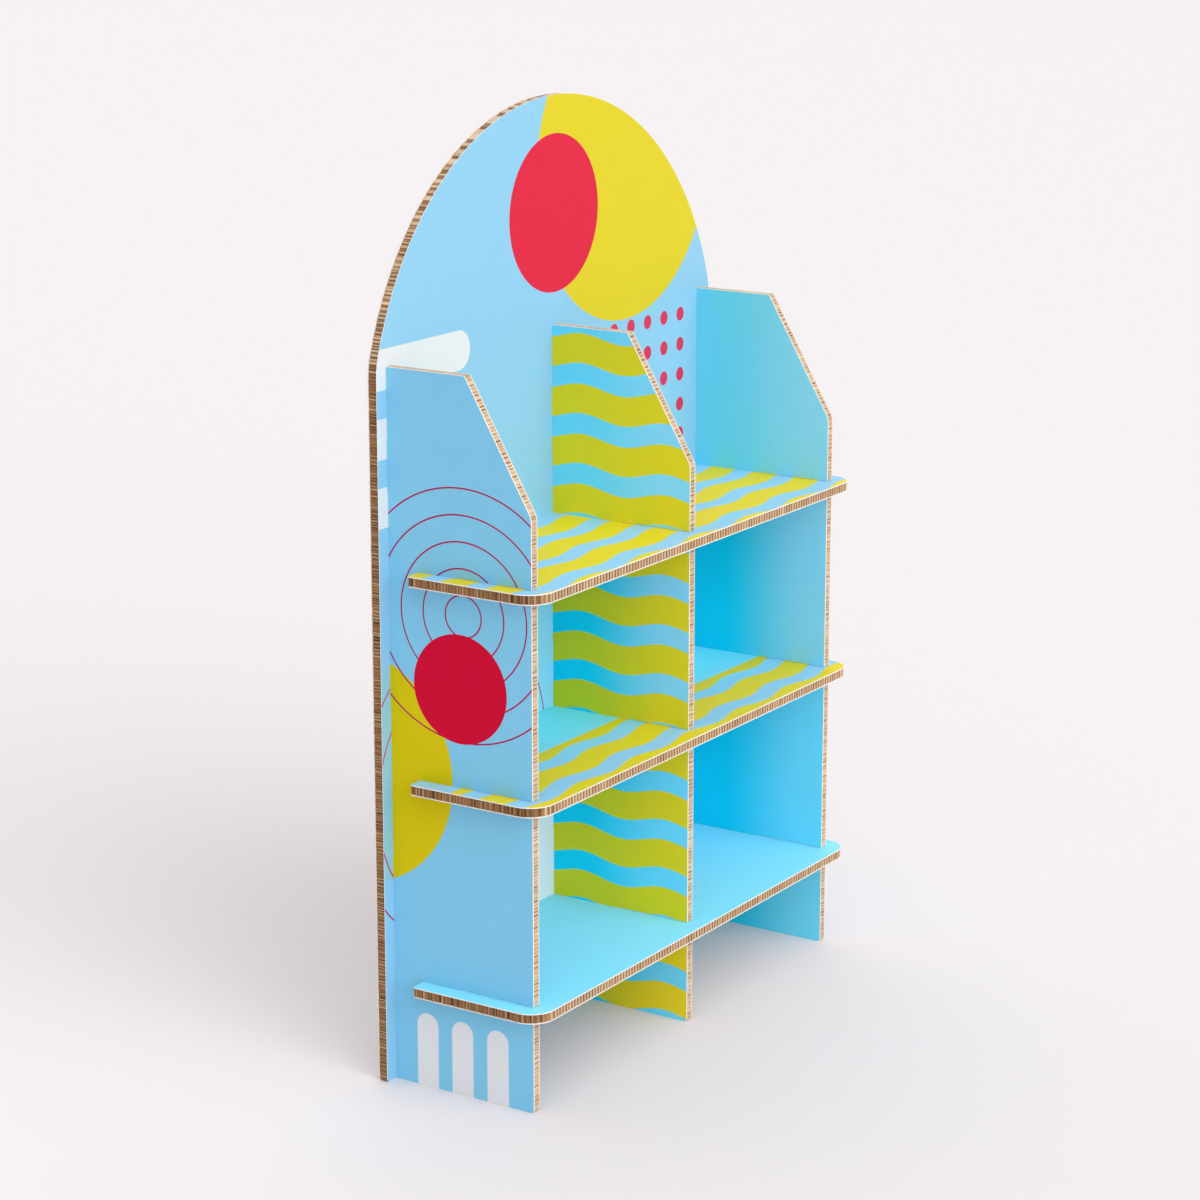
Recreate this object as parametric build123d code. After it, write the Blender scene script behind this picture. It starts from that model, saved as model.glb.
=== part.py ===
"""Free-standing slot-together display stand, cut from fluted-core cardboard.

Seven flat boards: an arched back panel, three uprights that plug into it with rear tabs,
and three shelves that cross-lap with the uprights from the front.
Frame: origin on the floor at the middle of the footprint, +X to the right, +Y to the rear, +Z up.
All lengths are in millimetres.
"""

from build123d import *
import os

# Board and fit
board = 16.0                    # thickness of the cardboard
fit = 0.4                       # extra width of a slot over the board that goes in it

# Back panel
back_width = 934.0
arch_rise = 358.0               # from the springing of the arch to its top
shoulder_blend = 120.0          # radius where the straight sides run into the arch
back_reveal = 23.0              # how far the back panel shows past the side panels

# Uprights
upright_depth = 255.0           # from the back panel's face to the front edge
upright_height = 1108.0
upright_top_length = 140.0      # level top edge, before the slope starts
upright_front_height = 912.0    # where the slope meets the front edge
slope_top_radius = 4.0
slope_bottom_radius = 30.0
upright_slot_length = 128.0     # shelf slot, from the front edge backwards

# Tabs at the rear of each upright, one half way up every bay
tab_height = 80.0

# Shelves
lowest_shelf_top = 168.0
shelf_pitch = 319.0
shelf_overhang = 29.0           # past the uprights, in front and at both ends
shelf_corner_radius = 40.0
wing_setback = 53.5             # from the back panel to the rear end of a shelf's wing
wing_corner_radius = 6.0

# Corners that meet the floor
foot_radius = 6.0

# Stations along Y, from the rear forwards
overall_depth = board + upright_depth + shelf_overhang
rear_y = overall_depth / 2
back_face_y = rear_y - board
upright_front_y = back_face_y - upright_depth
shelf_front_y = upright_front_y - shelf_overhang
lap_y = upright_front_y + upright_slot_length
wing_rear_y = back_face_y - wing_setback

# Stations along X and Z
upright_spacing = back_width / 2 - back_reveal - board / 2
upright_names = {
    "left_side_panel": -upright_spacing,
    "centre_divider": 0.0,
    "right_side_panel": upright_spacing,
}
shelf_names = {
    "lower_shelf": lowest_shelf_top,
    "middle_shelf": lowest_shelf_top + shelf_pitch,
    "upper_shelf": lowest_shelf_top + 2 * shelf_pitch,
}
shelf_half_length = upright_spacing + board / 2 + shelf_overhang
bay_floors = list(shelf_names.values())
bay_ceilings = [floor - board for floor in bay_floors[1:]] + [upright_height]
tab_levels = [(floor + ceiling) / 2 for floor, ceiling in zip(bay_floors, bay_ceilings)]
slot_width = board + fit


def window(low, high):
    """A rectangle given by two opposite corners."""
    return Pos((low[0] + high[0]) / 2, (low[1] + high[1]) / 2) * Rectangle(
        abs(high[0] - low[0]), abs(high[1] - low[1])
    )


def corner(sketch, point):
    """The corner of a sketch that lies at a point."""
    return sketch.vertices().sort_by_distance(Vector(*point))[0]


def back_panel():
    """Arched board that stands behind the shelves, with a mortise for every tab."""
    half = back_width / 2
    springing = upright_height
    outline = make_face(
        [
            Polyline((-half, springing), (-half, 0), (half, 0), (half, springing)),
            ThreePointArc((half, springing), (0, springing + arch_rise), (-half, springing)),
        ]
    )
    for side in (-half, half):
        outline = fillet(corner(outline, (side, springing)), shoulder_blend)
        outline = fillet(corner(outline, (side, 0)), foot_radius)
    for x in upright_names.values():
        for z in tab_levels:
            outline -= Pos(x, z) * Rectangle(slot_width, tab_height + fit)
    facing_front = Plane((0, rear_y, 0), x_dir=(1, 0, 0), z_dir=(0, -1, 0))
    return extrude(facing_front * outline, board)


def upright(x):
    """Vertical board: sloped top, front slots that take the shelves, rear tabs for the back panel."""
    slope_top = (back_face_y - upright_top_length, upright_height)
    slope_bottom = (upright_front_y, upright_front_height)
    front_foot = (upright_front_y, 0)
    outline = make_face(
        Polyline(
            (back_face_y, 0),
            (back_face_y, upright_height),
            slope_top,
            slope_bottom,
            front_foot,
            close=True,
        )
    )
    outline = fillet(corner(outline, slope_top), slope_top_radius)
    outline = fillet(corner(outline, slope_bottom), slope_bottom_radius)
    outline = fillet(corner(outline, front_foot), foot_radius)
    for top in shelf_names.values():
        outline -= window((shelf_front_y, top - board), (lap_y, top - board + slot_width))
    for z in tab_levels:
        outline += window((back_face_y, z - tab_height / 2), (rear_y, z + tab_height / 2))
    facing_right = Plane((x - board / 2, 0, 0), x_dir=(0, 1, 0), z_dir=(1, 0, 0))
    return extrude(facing_right * outline, board)


def shelf(top):
    """Level board: rounded front corners, rear slots that straddle the uprights, a short wing at each end."""
    outline = window((-shelf_half_length, shelf_front_y), (shelf_half_length, back_face_y))
    for end in (-shelf_half_length, shelf_half_length):
        outline = fillet(corner(outline, (end, shelf_front_y)), shelf_corner_radius)
    for x in upright_names.values():
        outline -= window((x - slot_width / 2, lap_y), (x + slot_width / 2, back_face_y))
    for side in (-1, 1):
        outline -= window(
            (side * upright_spacing, wing_rear_y), (side * shelf_half_length, back_face_y)
        )
        outline = fillet(corner(outline, (side * shelf_half_length, wing_rear_y)), wing_corner_radius)
    return extrude(Plane((0, 0, top - board)) * outline, board)


boards = {"back_panel": back_panel()}
boards.update({name: upright(x) for name, x in upright_names.items()})
boards.update({name: shelf(top) for name, top in shelf_names.items()})

os.makedirs("parts", exist_ok=True)
for name, solid in boards.items():
    export_step(solid, f"parts/{name}.step")
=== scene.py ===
"""Look of a slot-together cardboard display stand.

Every board is dressed as it is made: two paper liners with a fluted brown core between them.
The liners carry the print, and the cut edges show the core. All lengths are in metres.
"""

import bmesh
import bpy
import math
import random
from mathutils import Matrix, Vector


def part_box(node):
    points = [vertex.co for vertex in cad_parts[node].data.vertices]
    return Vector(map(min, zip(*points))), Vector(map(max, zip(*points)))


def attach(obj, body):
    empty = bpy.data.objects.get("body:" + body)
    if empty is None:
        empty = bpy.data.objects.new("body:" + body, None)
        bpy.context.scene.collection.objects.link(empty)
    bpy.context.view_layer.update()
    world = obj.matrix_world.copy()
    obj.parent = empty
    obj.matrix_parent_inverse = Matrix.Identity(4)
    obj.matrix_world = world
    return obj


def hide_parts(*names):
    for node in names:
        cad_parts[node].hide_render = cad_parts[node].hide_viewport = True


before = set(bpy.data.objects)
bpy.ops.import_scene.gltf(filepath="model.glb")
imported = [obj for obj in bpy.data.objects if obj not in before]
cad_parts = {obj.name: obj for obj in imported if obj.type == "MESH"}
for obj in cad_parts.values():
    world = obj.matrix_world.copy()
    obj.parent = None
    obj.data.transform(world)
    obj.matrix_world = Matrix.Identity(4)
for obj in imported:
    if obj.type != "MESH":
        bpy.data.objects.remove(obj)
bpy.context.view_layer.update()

MM = 0.001
X_AXIS, Y_AXIS, Z_AXIS = 0, 1, 2

# Make-up of the board
LINER = 1.3 * MM                # thickness of a paper liner
THIN_LINER = 0.6 * MM           # thickness of the back panel's liners
LINER_ROUNDING = 0.4            # share of a liner's thickness that is rounded at its cut edge
ROUNDING_STEPS = 2
CORE_RECESS = 0.5 * MM          # how far the core lies back from the liners' edges
STATION = 1.0 * MM              # spacing of the cuts that shape the flutes
STRETCH = 60 * STATION          # a long edge is first cut into stretches of about this length
LONG_WALL = 12                  # a wall of more stations than this keeps its ends closed
SHALLOW, MIDDLE, DEEP = 0.7 * MM, 1.5 * MM, 2.6 * MM    # depths of the hollows

# Cuts through the core: stations of paper and of open cells, and how dark each is, from 0 to 1; darkness
# past BROWN_TONE is painted shade, mostly in the open cells and also on the paper of the shelf ends
CUTS = {
    "shelf_front": ((4,), (4,), (0.10, 0.24), (0.42, 0.74)),
    "shelf_end": ((1, 2, 3), (2, 3, 4, 6), (0.26, 0.56), (0.46, 0.86)),
    "panel_side": ((1, 2), (2, 3, 4), (0.15, 0.4), (0.42, 0.8)),
    "panel_arch": ((2, 3), (2, 3, 4), (0.02, 0.22), (0.36, 0.64)),
    "upright_front": ((3, 4, 6), (1, 2), (0.06, 0.19), (0.22, 0.55)),
}
LONGEST_SLANT = 6.0             # how much longer the level layers look where the arch runs level

# How meshes are read and smoothed
SAME_POINT = 0.001 * MM         # points nearer than this are one
SAME_LEVEL = 0.01 * MM          # points within this lie at one level
SAME_PLANE = math.radians(0.5)  # faces turned by less than this are one
ON_FACE = 0.9                   # a face that points this much across its board is one of its sides
ON_SHELF_END = 0.55             # a wall that points this much along X is at a shelf's end
ON_ARCH = 0.2                   # a wall that points this much upwards is on the arch
PRINT_SLOT, EDGE_SLOT = 0, 1    # order of a liner's materials
LINER_SMOOTHING, CORE_SMOOTHING = math.radians(30), math.radians(25)
FACE_WEIGHT = 100               # how strongly large faces keep a liner's shading flat

# Boards: the axis across the board, the names of its low and high side, and its liners' thickness
BOARDS = {
    "back_panel": (Y_AXIS, "front", "rear", THIN_LINER),
    "left_side_panel": (X_AXIS, "left", "right", LINER),
    "centre_divider": (X_AXIS, "left", "right", LINER),
    "right_side_panel": (X_AXIS, "left", "right", LINER),
    "lower_shelf": (Z_AXIS, "under", "top", LINER),
    "middle_shelf": (Z_AXIS, "under", "top", LINER),
    "upper_shelf": (Z_AXIS, "under", "top", LINER),
}

# Places taken from the frame
BACK_FACE_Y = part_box("back_panel")[0].y
BAY_END_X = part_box("right_side_panel")[0].x
OPEN_BAY_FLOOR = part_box("upper_shelf")[1].z
LOW_BAY_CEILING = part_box("middle_shelf")[0].z

# Inks, as linear colour
SKY_BLUE = (0.242, 0.507, 0.70)
# painted bounce light: the back panel's blue behind the bays, greener and brighter
BAY_BOUNCE_SKY_BLUE = (0.25, 0.66, 0.92)
PANEL_BLUE = (0.22, 0.57, 0.81)
BAY_BLUE = (0.26, 0.70, 0.94)
# painted bounce light: a purer blue for the walls of the lowest bays
LOW_BAY_BOUNCE_BLUE = (0.165, 0.72, 0.96)
# painted shade: the bays' blue at their rear
BAY_SHADE_BLUE = (0.004, 0.64, 0.88)
# painted sheen: a paler blue on the shelf tops, for the sheen they show at a low angle
SHELF_SHEEN_BLUE = (0.31, 0.62, 0.84)
# painted bounce light: a purer, brighter blue at the rear of the middle shelf
SHELF_REAR_BOUNCE_BLUE = (0.20, 0.86, 1.0)
# painted light: a brighter blue on the lowest shelf, where the shelves above keep light from it
LOW_SHELF_LIT_BLUE = (0.26, 0.78, 0.98)
YELLOW = (0.655, 0.535, 0.003)
# painted sheen: the back panel's sun, paler than the same yellow on the left panel
SUN_SHEEN_YELLOW = (0.62, 0.52, 0.022)
BAY_YELLOW = (0.80, 0.65, 0.02)
# painted shade: the bays' yellow at their rear
BAY_SHADE_YELLOW = (0.66, 0.62, 0.025)
RED = (0.60, 0.002, 0.033)
# painted sheen: the back panel's roundel, paler than the same red on the left panel
ROUNDEL_SHEEN_RED = (0.61, 0.020, 0.050)
DOT_RED = (0.60, 0.036, 0.088)
WHITE = (0.745, 0.77, 0.80)
# painted shade: the back panel's white bars, greyer than the left panel's
SHADED_SKY_WHITE = (0.65, 0.69, 0.71)
PALE_BLUE = (0.66, 0.75, 0.83)
CRIMSON = (0.38, 0.002, 0.085)

# Papers, as linear colour
LINER_WHITE = (0.82, 0.80, 0.77)
KRAFT_PALE = (0.66, 0.53, 0.38)
KRAFT_BROWN = (0.36, 0.195, 0.09)
# painted shade: the colour down in the core's hollows
KRAFT_HOLLOW_SHADE = (0.09, 0.036, 0.015)
BROWN_TONE = 0.4                # how far the brown lies from the pale tone to the painted shade of the hollows

# Grain of the papers
CLOUD_SCALE, CLOUD_DETAIL = 28.0, 3.0
FIBRE_SCALE, FIBRE_DETAIL, FIBRE_ROUGHNESS = 420.0, 4.0, 0.65
FIBRE_SHARE = 0.6               # strength of the fibres beside the clouds
GLOSS_DRIFT = 0.18              # how much the grain changes the gloss
TOOTH_DEPTH = 0.1 * MM          # height of a paper's fine tooth
SHEEN_LEVEL = 0.06              # how strongly the matt varnish mirrors its surroundings

# Lines of the print
PRINT_EDGE = 0.25 * MM          # softness of a printed edge
RING_LINE = 2.5 * MM            # width of a thin ring

# Print on the back panel, from its middle and the floor; a row or block ends at its last mark's middle
BACK_RINGS = {
    "Centre Across": -278 * MM, "Centre Up": 438 * MM,
    "First": 63 * MM, "Spacing": 46 * MM, "Last": 247 * MM, "Line": RING_LINE,
}
BACK_BARS = {
    "End": -261 * MM, "First": 898 * MM,
    "Spacing": 103 * MM, "Row": 206 * MM, "Radius": 30.5 * MM,
}
BACK_DOTS = {
    "First Across": 172 * MM, "First Up": 868 * MM,
    "Spacing": 50.8 * MM, "Block": 203.2 * MM, "Radius": 11.6 * MM,
}
BACK_PALE_DISC = {"Centre Across": -100 * MM, "Centre Up": 300 * MM, "Radius": 190 * MM}
BACK_SUN = {"Centre Across": 205 * MM, "Centre Up": 1341 * MM, "Radius": 255 * MM}
BACK_ROUNDEL = {"Centre Across": 0.0, "Centre Up": 1282 * MM, "Radius": 124 * MM}

# Print on the left panel, along its depth and from the floor
PANEL_RINGS = {
    "Centre Across": BACK_FACE_Y - 134 * MM, "Centre Up": 750 * MM,
    "First": 32 * MM, "Spacing": 40 * MM, "Last": 192 * MM, "Line": RING_LINE,
}
PANEL_BARS = {
    "End": 98.5 * MM, "First": BACK_FACE_Y - 190 * MM,
    "Spacing": 64.5 * MM, "Row": 129 * MM, "Radius": 19.5 * MM,
}
PANEL_SUN = {"Centre Across": BACK_FACE_Y + 71 * MM, "Centre Up": 491 * MM, "Radius": 183 * MM}
PANEL_ROUNDEL = {"Centre Across": BACK_FACE_Y - 127 * MM, "Centre Up": 638.5 * MM, "Radius": 83.5 * MM}

# Wavy bands: their shape, where a crest lies along them, and the middle of one band across them
WAVE_LENGTH, WAVE_SWING = 155 * MM, 6.4 * MM
WAVE_SPACING, WAVE_BAND = 80 * MM, 47 * MM
DIVIDER_WAVES = {"Crest": BACK_FACE_Y - 55 * MM, "Band Middle": 29 * MM}
UPPER_SHELF_WAVES = {"Crest": -20 * MM, "Band Middle": BACK_FACE_Y - 60 * MM}
MIDDLE_SHELF_WAVES = {"Crest": -20 * MM, "Band Middle": BACK_FACE_Y - 127 * MM}

# Where the back panel's sky blue starts to turn to painted bounce light behind the bays, and where it has
# turned
BAY_BOUNCE_START, BAY_BOUNCE_END = OPEN_BAY_FLOOR + 40 * MM, OPEN_BAY_FLOOR - 120 * MM

# Where painted shading (shade, and bounce light on the middle shelf) starts to change a bay's inks towards
# its rear, and where it is strongest
BAY_SHADING_START, BAY_SHADING_END = BACK_FACE_Y - 215 * MM, BACK_FACE_Y - 60 * MM
OPEN_BAY_SHADING = 0.42       # share of the painted shading in the open bays

# Studio: each softbox by azimuth, elevation, tightness of its pool of light, and strength
SOFTBOXES = {
    "key": (-20, 40, 4, 0.87),
    "front": (-17, 14, 10, 0.42),
    "overhead": (0, 85, 3, 0.10),
    "right": (125, 40, 4, 0.40),
    "rear": (180, 40, 4, 0.14),
    "left_rear": (-120, 40, 4, 0.10),
}
FLOOR_SIDE = 120.0
FLOOR_TONE = (0.775, 0.738, 0.754)
PALE_ROOM = (0.896, 0.855, 0.871)

# Camera: its place, how far it dips below level, its turn about the upright axis, and its lens
CAMERA_PLACE = (-4.2151, BACK_FACE_Y - 2.8161, 1.9694)
CAMERA_DIP, CAMERA_TURN = math.radians(13.219), math.radians(-57.054)
CAMERA_LENS, CAMERA_SENSOR, CAMERA_SHIFT = 98.2, 36, -0.06


def rgba(ink):
    """An ink as a socket takes it; an ink that varies is a socket already."""
    return ink if isinstance(ink, bpy.types.NodeSocket) else (*ink, 1.0)


# Editing


def start_edit(piece, mode):
    """Opens one piece for editing, with nothing else selected."""
    bpy.ops.object.select_all(action="DESELECT")
    piece.select_set(True)
    bpy.context.view_layer.objects.active = piece
    bpy.ops.object.mode_set(mode="EDIT")
    bpy.ops.mesh.select_mode(type=mode)


def end_edit():
    bpy.ops.object.mode_set(mode="OBJECT")


def choose(piece, kind, wanted):
    """Selects only the wanted verts, edges or faces of the piece that is being edited."""
    bpy.ops.mesh.select_all(action="DESELECT")
    mesh = bmesh.from_edit_mesh(piece.data)
    for element in getattr(mesh, kind):
        if wanted(element):
            element.select_set(True)
    mesh.select_flush_mode()
    bmesh.update_edit_mesh(piece.data)


def board_copy(node, name):
    """A copy of a board's solid, with its triangles merged to whole faces."""
    piece = bpy.data.objects.new(name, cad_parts[node].data.copy())
    bpy.context.collection.objects.link(piece)
    piece.data.name = name
    piece.data.materials.clear()
    start_edit(piece, "VERT")
    bpy.ops.mesh.customdata_custom_splitnormals_clear()
    bpy.ops.mesh.select_all(action="SELECT")
    bpy.ops.mesh.remove_doubles(threshold=SAME_POINT)
    bpy.ops.mesh.dissolve_limited(angle_limit=SAME_PLANE)
    end_edit()
    return piece


def cut_away(piece, axis, level, outward):
    """Cuts a board across an axis and keeps what lies below the level, or above it where outward is -1."""
    direction = Vector((0, 0, 0))
    direction[axis] = outward
    start_edit(piece, "VERT")
    bpy.ops.mesh.select_all(action="SELECT")
    bpy.ops.mesh.bisect(
        plane_co=direction * outward * level, plane_no=direction, use_fill=True, clear_outer=True
    )
    end_edit()


def liner(node, axis, side, face_level, outward, thickness, print_material, edge_material):
    """A thin paper sheet on one side of a board: print on its outside, bare paper on its cut edge."""
    piece = board_copy(node, f"{node}_{side}_liner")
    cut_away(piece, axis, face_level - outward * thickness, -outward)
    piece.data.materials.append(print_material)
    piece.data.materials.append(edge_material)
    for face in piece.data.polygons:
        face.material_index = PRINT_SLOT if face.normal[axis] * outward > ON_FACE else EDGE_SLOT
    start_edit(piece, "EDGE")

    def on_printed_outline(edge):
        facing = [face.normal[axis] * outward > ON_FACE for face in edge.link_faces]
        return len(facing) == 2 and facing[0] != facing[1]

    choose(piece, "edges", on_printed_outline)
    bpy.ops.mesh.bevel(offset=LINER_ROUNDING * thickness, segments=ROUNDING_STEPS, material=EDGE_SLOT)
    end_edit()
    bpy.ops.object.shade_smooth_by_angle(angle=LINER_SMOOTHING)
    bpy.ops.object.modifier_add(type="WEIGHTED_NORMAL")
    flattening = piece.modifiers[-1]
    flattening.keep_sharp = True
    flattening.weight = FACE_WEIGHT
    bpy.ops.object.modifier_apply(modifier=flattening.name)
    return piece


def cut_of(axis, normal):
    """Which cut through the core a wall of a board shows, and how much longer a slanting cut makes it."""
    if axis == Z_AXIS:
        return ("shelf_end" if abs(normal.x) > ON_SHELF_END else "shelf_front"), 1.0
    if axis == X_AXIS:
        return "upright_front", 1.0
    if normal.z < ON_ARCH:
        return "panel_side", 1.0
    return "panel_arch", 1 / max(normal.x ** 2, 1 / LONGEST_SLANT)


def flute_plan(dice, stations, cut, slant):
    """Depth and tone of the core at each station of a cut edge; the depth is 0 where paper reaches it."""
    papers, cells, paper_tones, cell_tones = CUTS[cut]
    skipped = dice.randrange(max(papers) + max(cells))
    plan = []
    while len(plan) < skipped + stations:
        plan += [(0.0, dice.uniform(*paper_tones))] * round(slant * dice.choice(papers))
        tone = dice.uniform(*cell_tones)
        depth = min((SHALLOW, MIDDLE, DEEP), key=lambda level: abs(level / DEEP - tone))
        plan += [(depth, tone)] * round(slant * dice.choice(cells))
    plan = plan[skipped:skipped + stations]
    if stations > LONG_WALL:
        for end in (0, -1):
            plan[end] = (0.0, paper_tones[0])
    return plan


def fluted_core(node, axis, low, high, material):
    """The brown core between the liners, with its flutes cut open all round the board's outline."""
    piece = board_copy(node, f"{node}_core")
    cut_away(piece, axis, low, -1)
    cut_away(piece, axis, high, 1)
    dice = random.Random(node)
    start_edit(piece, "FACE")

    # Only the walls stay, drawn back from the liners' edges
    choose(piece, "faces", lambda face: abs(face.normal[axis]) > ON_FACE)
    bpy.ops.mesh.delete(type="ONLY_FACE")
    bpy.ops.mesh.select_all(action="SELECT")
    bpy.ops.transform.shrink_fatten(value=-CORE_RECESS, use_even_offset=True)

    # Each wall is numbered, and its length gives the number of cuts
    mesh = bmesh.from_edit_mesh(piece.data)
    wall_layer = mesh.faces.layers.int.new("wall")
    coarse_layer = mesh.edges.layers.int.new("coarse_cuts")
    fine_layer = mesh.edges.layers.int.new("fine_cuts")
    walls = []
    for number, face in enumerate(mesh.faces):
        runs = [e for e in face.edges if abs((e.verts[1].co - e.verts[0].co)[axis]) < SAME_LEVEL]
        start = runs[0].verts[0].co.copy()
        run = runs[0].verts[1].co - start
        stretches = math.ceil(run.length / STRETCH)
        steps = max(1, round(run.length / stretches / STATION))
        stations = stretches * steps + 1
        face[wall_layer] = number
        for edge in runs:
            edge[coarse_layer] = stretches - 1
            edge[fine_layer] = steps - 1
        walls.append((start, run, stations, flute_plan(dice, stations, *cut_of(axis, face.normal))))
    bmesh.update_edit_mesh(piece.data)

    # An edge takes at most 100 cuts at once, so each wall is cut twice
    bpy.ops.mesh.select_mode(type="EDGE")
    for layer_name in ("coarse_cuts", "fine_cuts"):
        mesh = bmesh.from_edit_mesh(piece.data)
        layer = mesh.edges.layers.int[layer_name]
        for cuts in sorted({edge[layer] for edge in mesh.edges} - {0}):
            layer = bmesh.from_edit_mesh(piece.data).edges.layers.int[layer_name]
            choose(piece, "edges", lambda edge: edge[layer] == cuts)
            bpy.ops.mesh.subdivide(number_cuts=cuts)

    # Stations that lie in a hollow are pushed in, and their tone is kept for the paper's colour and its
    # painted shade
    mesh = bmesh.from_edit_mesh(piece.data)
    wall_layer = mesh.faces.layers.int["wall"]
    tone_layer = mesh.verts.layers.float.new("hollow")
    depth_of = {}
    for face in mesh.faces:
        start, run, stations, plan = walls[face[wall_layer]]
        for vert in face.verts:
            place = (vert.co - start).dot(run) / run.length_squared
            depth, tone = plan[min(max(round(place * (stations - 1)), 0), stations - 1)]
            if depth > depth_of.get(vert.index, -1.0):
                depth_of[vert.index] = depth
                vert[tone_layer] = tone
    bmesh.update_edit_mesh(piece.data)
    bpy.ops.mesh.select_mode(type="VERT")
    for depth in (SHALLOW, MIDDLE, DEEP):
        choose(piece, "verts", lambda vert: depth_of[vert.index] == depth)
        bpy.ops.transform.shrink_fatten(value=-depth)

    # The cut ends are closed again under the liners
    bpy.ops.mesh.select_mode(type="EDGE")
    for level in (low, high):
        def on_open_end(edge):
            return edge.is_boundary and all(abs(v.co[axis] - level) < SAME_LEVEL for v in edge.verts)

        choose(piece, "edges", on_open_end)
        bpy.ops.mesh.fill()
    bpy.ops.mesh.select_all(action="SELECT")
    bpy.ops.mesh.normals_make_consistent(inside=False)
    end_edit()
    bpy.ops.object.shade_smooth_by_angle(angle=CORE_SMOOTHING)
    piece.data.materials.append(material)
    return piece


# Shader graphs


class Graph:
    """Adds nodes to a shader tree; an input may be a value or the output of another node."""

    def __init__(self, tree):
        self.tree = tree

    def node(self, kind, inputs=None, **settings):
        made = self.tree.nodes.new(kind)
        for key, value in settings.items():
            setattr(made, key, value)
        for key, value in (inputs or {}).items():
            self.feed(made.inputs[key], value)
        return made

    def feed(self, socket, value):
        if isinstance(value, bpy.types.NodeSocket):
            self.tree.links.new(value, socket)
        else:
            socket.default_value = value

    def math(self, operation, *values):
        return self.node("ShaderNodeMath", dict(enumerate(values)), operation=operation).outputs[0]

    def length(self, a, b):
        squares = self.math("ADD", self.math("MULTIPLY", a, a), self.math("MULTIPLY", b, b))
        return self.math("SQRT", squares)

    def ramp(self, value, start, end, kind="SMOOTHSTEP"):
        """0 at the start and 1 at the end."""
        stops = {"Value": value, "From Min": start, "From Max": end}
        return self.node("ShaderNodeMapRange", stops, interpolation_type=kind).outputs["Result"]

    def inside(self, distance):
        """1 where a distance to a printed edge is negative, 0 where it is positive."""
        return self.ramp(distance, PRINT_EDGE, -PRINT_EDGE, "LINEAR")

    def mix(self, factor, below, above):
        return self.node("ShaderNodeMix", {0: factor, 6: below, 7: above}, data_type="RGBA").outputs[2]


def place_group(graph, tree, inputs):
    """Places a node group and feeds its named inputs."""
    made = graph.node("ShaderNodeGroup", node_tree=tree)
    for key, value in inputs.items():
        graph.feed(made.inputs[key], value)
    return made.outputs


def new_group(name, inputs, outputs):
    """An empty node group with float outputs: its tree, its graph, its inputs and its results."""
    tree = bpy.data.node_groups.new(name, "ShaderNodeTree")
    for label, kind in inputs.items():
        tree.interface.new_socket(name=label, in_out="INPUT", socket_type=kind)
    for label in outputs:
        tree.interface.new_socket(name=label, in_out="OUTPUT", socket_type="NodeSocketFloat")
    graph = Graph(tree)
    return tree, graph, graph.node("NodeGroupInput").outputs, graph.node("NodeGroupOutput").inputs


def floats(*names):
    return {name: "NodeSocketFloat" for name in names}


def disc_group():
    """A round field."""
    names = ("Across", "Up", "Centre Across", "Centre Up", "Radius")
    tree, graph, given, result = new_group("printed_disc", floats(*names), ["Mask"])
    across = graph.math("SUBTRACT", given["Across"], given["Centre Across"])
    up = graph.math("SUBTRACT", given["Up"], given["Centre Up"])
    distance = graph.math("SUBTRACT", graph.length(across, up), given["Radius"])
    graph.feed(result["Mask"], graph.inside(distance))
    return tree


def ring_group():
    """Thin rings about one centre, evenly spaced."""
    names = ("Across", "Up", "Centre Across", "Centre Up", "First", "Spacing", "Last", "Line")
    tree, graph, given, result = new_group("printed_rings", floats(*names), ["Mask"])
    across = graph.math("SUBTRACT", given["Across"], given["Centre Across"])
    up = graph.math("SUBTRACT", given["Up"], given["Centre Up"])
    radius = graph.length(across, up)
    half_spacing = graph.math("MULTIPLY", given["Spacing"], 0.5)
    half_line = graph.math("MULTIPLY", given["Line"], 0.5)
    past_first = graph.math("SUBTRACT", radius, given["First"])
    to_ring = graph.math("PINGPONG", past_first, half_spacing)
    line = graph.inside(graph.math("SUBTRACT", to_ring, half_line))
    past_last = graph.math("SUBTRACT", radius, given["Last"])
    within = graph.inside(graph.math("SUBTRACT", past_last, given["Line"]))
    short_of_first = graph.math("SUBTRACT", given["First"], radius)
    beyond = graph.inside(graph.math("SUBTRACT", short_of_first, given["Line"]))
    graph.feed(result["Mask"], graph.math("MULTIPLY", graph.math("MULTIPLY", line, within), beyond))
    return tree


def wave_group():
    """Wavy bands that run along one axis and repeat across it."""
    names = ("Along", "Across", "Crest", "Band Middle")
    tree, graph, given, result = new_group("printed_waves", floats(*names), ["Mask"])
    phase = graph.math("SUBTRACT", given["Along"], given["Crest"])
    swing = graph.math("COSINE", graph.math("MULTIPLY", phase, 2 * math.pi / WAVE_LENGTH))
    middle = graph.math("MULTIPLY_ADD", swing, WAVE_SWING, given["Band Middle"])
    to_band = graph.math("PINGPONG", graph.math("SUBTRACT", given["Across"], middle), WAVE_SPACING / 2)
    graph.feed(result["Mask"], graph.inside(graph.math("SUBTRACT", to_band, WAVE_BAND / 2)))
    return tree


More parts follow.
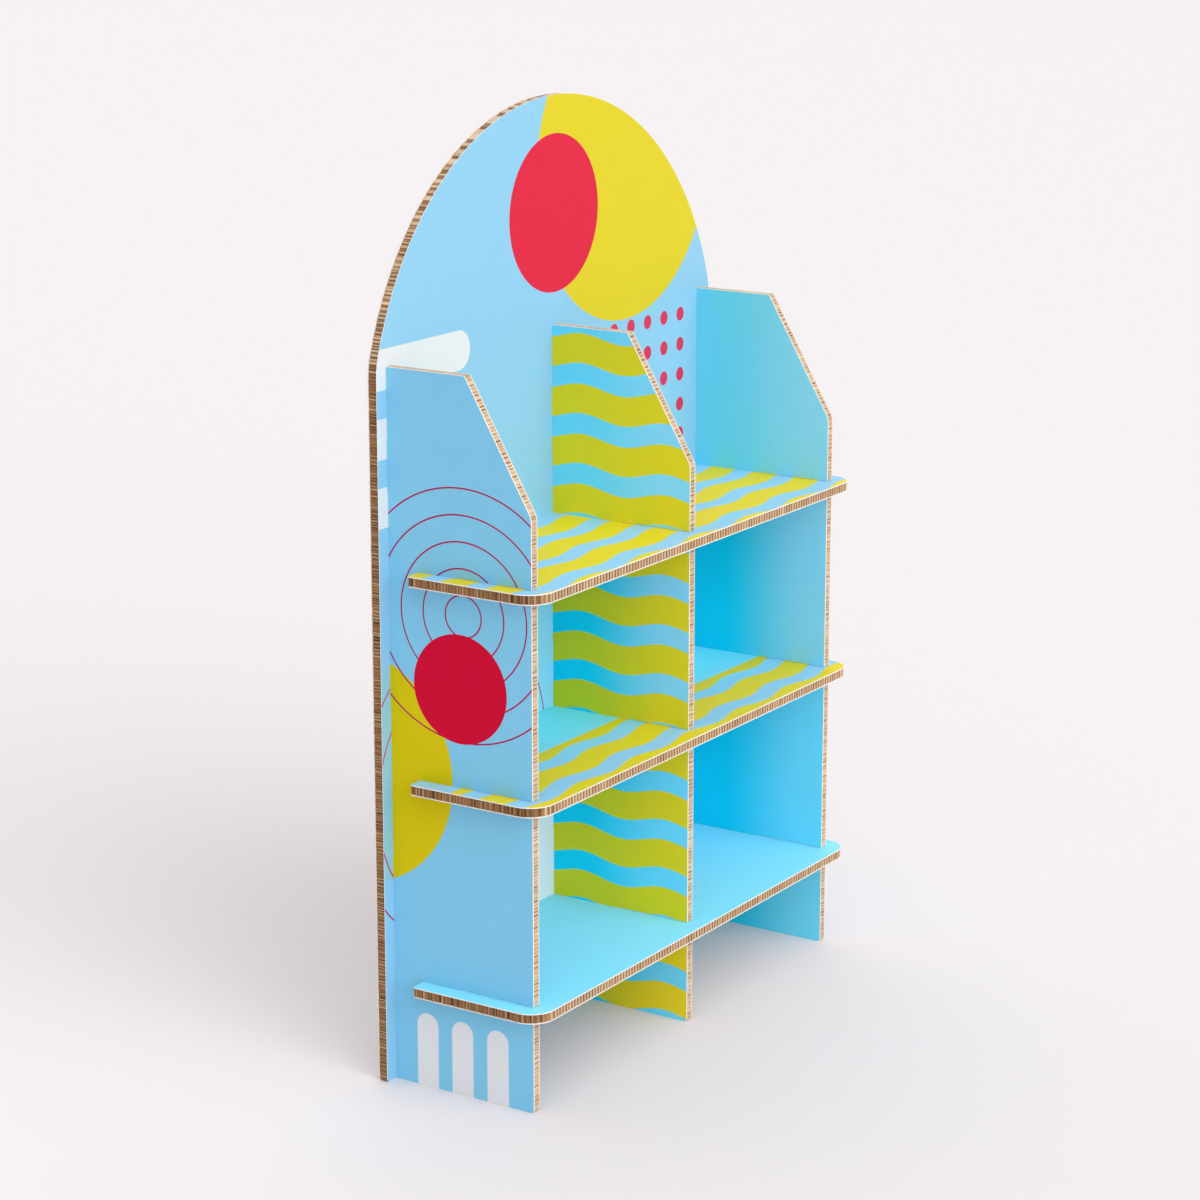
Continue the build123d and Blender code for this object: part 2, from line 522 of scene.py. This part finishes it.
def bar_group():
    """A row of bars with one round end, evenly spaced across their length."""
    names = ("Along", "Across", "End", "First", "Spacing", "Row", "Radius")
    tree, graph, given, result = new_group("printed_bars", floats(*names), ["Mask"])
    from_first = graph.math("SUBTRACT", given["Across"], given["First"])
    across = graph.math("PINGPONG", from_first, graph.math("MULTIPLY", given["Spacing"], 0.5))
    past_end = graph.math("MAXIMUM", graph.math("SUBTRACT", given["Along"], given["End"]), 0.0)
    bars = graph.inside(graph.math("SUBTRACT", graph.length(across, past_end), given["Radius"]))
    row_middle = graph.math("MULTIPLY", given["Row"], 0.5)
    off_middle = graph.math("ABSOLUTE", graph.math("SUBTRACT", from_first, row_middle))
    past_row = graph.math("SUBTRACT", off_middle, row_middle)
    in_row = graph.inside(graph.math("SUBTRACT", past_row, given["Radius"]))
    graph.feed(result["Mask"], graph.math("MULTIPLY", bars, in_row))
    return tree


def dot_group():
    """A square block of dots."""
    names = ("Across", "Up", "First Across", "First Up", "Spacing", "Block", "Radius")
    tree, graph, given, result = new_group("printed_dots", floats(*names), ["Mask"])
    half_spacing = graph.math("MULTIPLY", given["Spacing"], 0.5)
    half_block = graph.math("MULTIPLY", given["Block"], 0.5)
    reach = graph.math("ADD", half_block, half_spacing)
    to_dot = []
    in_block = []
    for axis in ("Across", "Up"):
        from_first = graph.math("SUBTRACT", given[axis], given[f"First {axis}"])
        to_dot.append(graph.math("PINGPONG", from_first, half_spacing))
        off_middle = graph.math("ABSOLUTE", graph.math("SUBTRACT", from_first, half_block))
        in_block.append(graph.inside(graph.math("SUBTRACT", off_middle, reach)))
    dots = graph.inside(graph.math("SUBTRACT", graph.length(*to_dot), given["Radius"]))
    graph.feed(result["Mask"], graph.math("MULTIPLY", dots, graph.math("MULTIPLY", *in_block)))
    return tree


def paper_group():
    """Grain of a paper sheet: a slight mottle of its colour and gloss, and a fine tooth."""
    inputs = {"Place": "NodeSocketVector", **floats("Mottle", "Gloss")}
    tree, graph, given, result = new_group("paper_grain", inputs, ["Shade", "Roughness", "Tooth"])
    place = given["Place"]
    cloud = graph.node("ShaderNodeTexNoise", {
        "Vector": place, "Scale": CLOUD_SCALE, "Detail": CLOUD_DETAIL,
    })
    fibre = graph.node("ShaderNodeTexNoise", {
        "Vector": place, "Scale": FIBRE_SCALE, "Detail": FIBRE_DETAIL, "Roughness": FIBRE_ROUGHNESS,
    })
    drift = graph.math("SUBTRACT", cloud.outputs["Fac"], 0.5)
    speck = graph.math("SUBTRACT", fibre.outputs["Fac"], 0.5)
    both = graph.math("MULTIPLY_ADD", speck, FIBRE_SHARE, drift)
    graph.feed(result["Shade"], graph.math("MULTIPLY_ADD", both, given["Mottle"], 1.0))
    graph.feed(result["Roughness"], graph.math("MULTIPLY_ADD", both, GLOSS_DRIFT, given["Gloss"]))
    graph.feed(result["Tooth"], fibre.outputs["Fac"])
    return tree


DISC = disc_group()
RINGS = ring_group()
WAVES = wave_group()
BARS = bar_group()
DOTS = dot_group()
PAPER = paper_group()


class Sheet:
    """The material of a paper sheet: a field of one colour, shapes printed over it, and its grain."""

    def __init__(self, name, field, mottle=0.05, gloss=0.45, tooth=0.06):
        self.material = bpy.data.materials.new(name)
        self.material.use_nodes = True
        self.graph = Graph(self.material.node_tree)
        self.shader = self.material.node_tree.nodes["Principled BSDF"]
        self.shader.inputs["Specular IOR Level"].default_value = SHEEN_LEVEL
        self.place = self.graph.node("ShaderNodeTexCoord").outputs["Object"]
        axes = self.graph.node("ShaderNodeSeparateXYZ", {0: self.place}).outputs
        self.x, self.y, self.z = axes["X"], axes["Y"], axes["Z"]
        self.colour = rgba(field)
        grain = {"Place": self.place, "Mottle": mottle, "Gloss": gloss}
        self.grain = place_group(self.graph, PAPER, grain)
        self.tooth = tooth

    def lay(self, ink, tree, inputs, only=None):
        """Prints one shape in one ink, kept within another mask where one is given."""
        mask = place_group(self.graph, tree, inputs)["Mask"]
        if only is not None:
            mask = self.graph.math("MULTIPLY", mask, only)
        self.colour = self.graph.mix(mask, self.colour, rgba(ink))

    def paint_bay_light_and_shade(self, front_ink, rear_shading_ink):
        """Painted shade and bounce light: an ink that turns to another towards the rear of a bay, less in
        the open bays at the top.
        """
        rear = self.graph.ramp(self.y, BAY_SHADING_START, BAY_SHADING_END)
        roofed = self.graph.math("LESS_THAN", self.z, OPEN_BAY_FLOOR)
        strength = self.graph.math("MULTIPLY_ADD", roofed, 1 - OPEN_BAY_SHADING, OPEN_BAY_SHADING)
        share = self.graph.math("MULTIPLY", rear, strength)
        return self.graph.mix(share, rgba(front_ink), rgba(rear_shading_ink))

    def painted_bay_blue(self):
        """Blue of a bay's walls, purer with painted bounce light in the lowest bays, and darkening with
        painted shade towards the rear.
        """
        lowest = self.graph.math("LESS_THAN", self.z, LOW_BAY_CEILING)
        return self.paint_bay_light_and_shade(self.graph.mix(lowest, rgba(BAY_BLUE), rgba(LOW_BAY_BOUNCE_BLUE)), BAY_SHADE_BLUE)

    def finish(self):
        plain = isinstance(self.colour, tuple)
        shaded = self.graph.node(
            "ShaderNodeVectorMath", {0: self.colour[:3] if plain else self.colour}, operation="SCALE"
        )
        self.graph.feed(shaded.inputs["Scale"], self.grain["Shade"])
        self.graph.feed(self.shader.inputs["Base Color"], shaded.outputs[0])
        self.graph.feed(self.shader.inputs["Roughness"], self.grain["Roughness"])
        bump = self.graph.node("ShaderNodeBump", {
            "Strength": self.tooth, "Distance": TOOTH_DEPTH, "Height": self.grain["Tooth"],
        })
        self.graph.feed(self.shader.inputs["Normal"], bump.outputs[0])
        return self.material


def back_panel_print_painted_light():
    """Sky blue with a large sun, a red roundel, white bars, a block of dots and thin rings. Behind the
    bays the blue carries painted bounce light, the sun and the roundel painted sheen, and the bars painted
    shade.
    """
    sheet = Sheet("back_panel_print_painted_light", SKY_BLUE)
    # painted bounce light: lower down and between the side panels the blue turns greener and brighter
    below = sheet.graph.ramp(sheet.z, BAY_BOUNCE_START, BAY_BOUNCE_END)
    between = sheet.graph.math("LESS_THAN", sheet.graph.math("ABSOLUTE", sheet.x), BAY_END_X)
    in_bays = sheet.graph.math("MULTIPLY", below, between)
    sheet.colour = sheet.graph.mix(in_bays, rgba(SKY_BLUE), rgba(BAY_BOUNCE_SKY_BLUE))
    face = {"Across": sheet.x, "Up": sheet.z}
    sheet.lay(CRIMSON, RINGS, {**face, **BACK_RINGS})
    # the white bars carry painted shade
    sheet.lay(SHADED_SKY_WHITE, BARS, {"Along": sheet.x, "Across": sheet.z, **BACK_BARS})
    sheet.lay(DOT_RED, DOTS, {**face, **BACK_DOTS})
    sheet.lay(PALE_BLUE, DISC, {**face, **BACK_PALE_DISC})
    # the sun and the roundel are inked paler as painted sheen
    sheet.lay(SUN_SHEEN_YELLOW, DISC, {**face, **BACK_SUN})
    sheet.lay(ROUNDEL_SHEEN_RED, DISC, {**face, **BACK_ROUNDEL})
    return sheet.finish()


def left_panel_print():
    """Blue with a sun that runs off the rear edge, thin rings, a red roundel and white bars."""
    sheet = Sheet("left_panel_print", PANEL_BLUE)
    face = {"Across": sheet.y, "Up": sheet.z}
    sheet.lay(YELLOW, DISC, {**face, **PANEL_SUN})
    sheet.lay(CRIMSON, RINGS, {**face, **PANEL_RINGS})
    sheet.lay(WHITE, BARS, {"Along": sheet.z, "Across": sheet.y, **PANEL_BARS})
    sheet.lay(RED, DISC, {**face, **PANEL_ROUNDEL})
    return sheet.finish()


def divider_print_painted_shade():
    """Level wavy bands from top to bottom, over the bays' blue; both inks darken with painted shade
    towards the rear.
    """
    sheet = Sheet("divider_print_painted_shade", BAY_BLUE)
    sheet.colour = sheet.painted_bay_blue()
    # the yellow bands darken with painted shade towards the rear
    ink = sheet.paint_bay_light_and_shade(BAY_YELLOW, BAY_SHADE_YELLOW)
    sheet.lay(ink, WAVES, {"Along": sheet.y, "Across": sheet.z, **DIVIDER_WAVES})
    return sheet.finish()


def upper_shelf_print_painted_sheen():
    """Wavy bands along the whole shelf, over a blue paled by painted sheen."""
    sheet = Sheet("upper_shelf_print_painted_sheen", SHELF_SHEEN_BLUE)
    sheet.lay(BAY_YELLOW, WAVES, {"Along": sheet.x, "Across": sheet.y, **UPPER_SHELF_WAVES})
    return sheet.finish()


def middle_shelf_print_painted_light():
    """Wavy bands on the front of the shelf, with a plain strip at the rear; the blue is paled by painted
    sheen, and between the side panels it turns to painted bounce light towards the rear.
    """
    sheet = Sheet("middle_shelf_print_painted_light", SHELF_SHEEN_BLUE)
    on_wing = sheet.graph.math("GREATER_THAN", sheet.graph.math("ABSOLUTE", sheet.x), BAY_END_X)
    # painted bounce light towards the rear of the shelf, but not on its wings
    rear_lit_shelf = sheet.paint_bay_light_and_shade(SHELF_SHEEN_BLUE, SHELF_REAR_BOUNCE_BLUE)
    sheet.colour = sheet.graph.mix(on_wing, rear_lit_shelf, rgba(SHELF_SHEEN_BLUE))
    waves = {"Along": sheet.x, "Across": sheet.y, **MIDDLE_SHELF_WAVES}
    in_front = sheet.graph.inside(sheet.graph.math("SUBTRACT", sheet.y, waves["Band Middle"]))
    sheet.lay(BAY_YELLOW, WAVES, waves, only=in_front)
    return sheet.finish()


def bay_wall_print_painted_light_and_shade():
    """Plain blue that darkens with painted shade towards the rear, and is purer with painted bounce light
    in the lowest bay.
    """
    sheet = Sheet("bay_wall_print_painted_light_and_shade", BAY_BLUE)
    sheet.colour = sheet.painted_bay_blue()
    return sheet.finish()


def plain_print(name, field):
    return Sheet(name, field).finish()


def bare_liner():
    return Sheet("bare_liner", LINER_WHITE, mottle=0.07, gloss=0.7, tooth=0.12).finish()


def kraft_core():
    """Raw brown paper, pale where the cut reaches it, with painted shade down in the hollows."""
    sheet = Sheet("kraft_core", KRAFT_PALE, mottle=0.5, gloss=0.85, tooth=0.25)
    hollow = sheet.graph.node("ShaderNodeAttribute", attribute_name="hollow").outputs["Fac"]
    to_brown = sheet.graph.ramp(hollow, 0.0, BROWN_TONE, "LINEAR")
    to_shade = sheet.graph.ramp(hollow, BROWN_TONE, 1.0, "LINEAR")
    brown = sheet.graph.mix(to_brown, rgba(KRAFT_PALE), rgba(KRAFT_BROWN))
    # painted shade darkens the paper where its tone is past the brown
    sheet.colour = sheet.graph.mix(to_shade, brown, rgba(KRAFT_HOLLOW_SHADE))
    return sheet.finish()


# Boards


def faces_of(node, axis):
    """Where a board's two faces lie along the axis across it."""
    low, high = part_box(node)
    return low[axis], high[axis]


def dress_boards():
    """Replaces every solid by its two liners and its core."""
    bare = bare_liner()
    core = kraft_core()
    bay_wall = bay_wall_print_painted_light_and_shade()
    waves = divider_print_painted_shade()
    prints = {
        ("back_panel", "front"): back_panel_print_painted_light(),
        ("back_panel", "rear"): bare,
        ("left_side_panel", "left"): left_panel_print(),
        ("left_side_panel", "right"): bay_wall,
        ("centre_divider", "left"): waves,
        ("centre_divider", "right"): waves,
        ("right_side_panel", "left"): bay_wall,
        ("right_side_panel", "right"): plain_print("right_panel_print", PANEL_BLUE),
        # the lowest shelf's top carries painted light
        ("lower_shelf", "top"): plain_print("lower_shelf_print_painted_light", LOW_SHELF_LIT_BLUE),
        ("lower_shelf", "under"): bare,
        ("middle_shelf", "top"): middle_shelf_print_painted_light(),
        ("middle_shelf", "under"): bare,
        ("upper_shelf", "top"): upper_shelf_print_painted_sheen(),
        ("upper_shelf", "under"): bare,
    }
    for node, (axis, low_side, high_side, thickness) in BOARDS.items():
        low, high = faces_of(node, axis)
        pieces = {fluted_core(node, axis, low + thickness, high - thickness, core): "kraft_core"}
        for side, level, outward in ((low_side, low, -1), (high_side, high, 1)):
            finish = prints[node, side]
            piece = liner(node, axis, side, level, outward, thickness, finish, bare)
            pieces[piece] = "white_liner" if finish == bare else "printed_board"
        for piece, slot in pieces.items():
            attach(piece, "root")
            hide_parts(node)


# Studio


def floor():
    bpy.ops.object.select_all(action="DESELECT")
    bpy.ops.mesh.primitive_plane_add(size=FLOOR_SIDE, location=(0, 0, 0))
    piece = bpy.context.object
    piece.name = "studio_floor"
    paint = Sheet("studio_floor", FLOOR_TONE, mottle=0.01, gloss=0.9, tooth=0.0)
    piece.data.materials.append(paint.finish())


def towards(azimuth, elevation):
    """Direction to a light; the azimuth runs from the front of the stand to its right."""
    turn, rise = math.radians(azimuth), math.radians(elevation)
    return Vector((math.sin(turn) * math.cos(rise), -math.cos(turn) * math.cos(rise), math.sin(rise)))


def studio_dome():
    """World light: a pool of light for each softbox, and the lit floor's tone past its far edge."""
    world = bpy.data.worlds.new("studio_dome")
    world.use_nodes = True
    bpy.context.scene.world = world
    graph = Graph(world.node_tree)
    direction = graph.node("ShaderNodeTexCoord").outputs["Generated"]
    # A pool's strength is the light that a face turned to it gets, however tight the pool is
    total = 0.0
    for azimuth, elevation, tightness, strength in SOFTBOXES.values():
        aim = {0: direction, 1: towards(azimuth, elevation)}
        facing = graph.node("ShaderNodeVectorMath", aim, operation="DOT_PRODUCT").outputs["Value"]
        pool = graph.math("POWER", graph.math("MAXIMUM", facing, 0.0), tightness)
        total = graph.math("MULTIPLY_ADD", pool, strength * (tightness + 2) / 2, total)
    lit = world.node_tree.nodes["Background"]
    lit.inputs["Color"].default_value = (1, 1, 1, 1)
    graph.feed(lit.inputs["Strength"], total)
    seen = graph.node("ShaderNodeBackground", {"Color": rgba(PALE_ROOM)})
    camera_ray = graph.node("ShaderNodeLightPath").outputs["Is Camera Ray"]
    mixed = graph.node("ShaderNodeMixShader", {0: camera_ray, 1: lit.outputs[0], 2: seen.outputs[0]})
    graph.feed(world.node_tree.nodes["World Output"].inputs["Surface"], mixed.outputs[0])


def camera():
    bpy.ops.object.camera_add(location=CAMERA_PLACE, rotation=(math.pi / 2 - CAMERA_DIP, 0, CAMERA_TURN))
    view = bpy.context.object
    view.name = "photo_camera"
    view.data.sensor_width = CAMERA_SENSOR
    view.data.lens = CAMERA_LENS
    view.data.shift_y = CAMERA_SHIFT
    bpy.context.scene.camera = view


bpy.context.scene.view_settings.view_transform = "Standard"
dress_boards()
floor()
studio_dome()
camera()
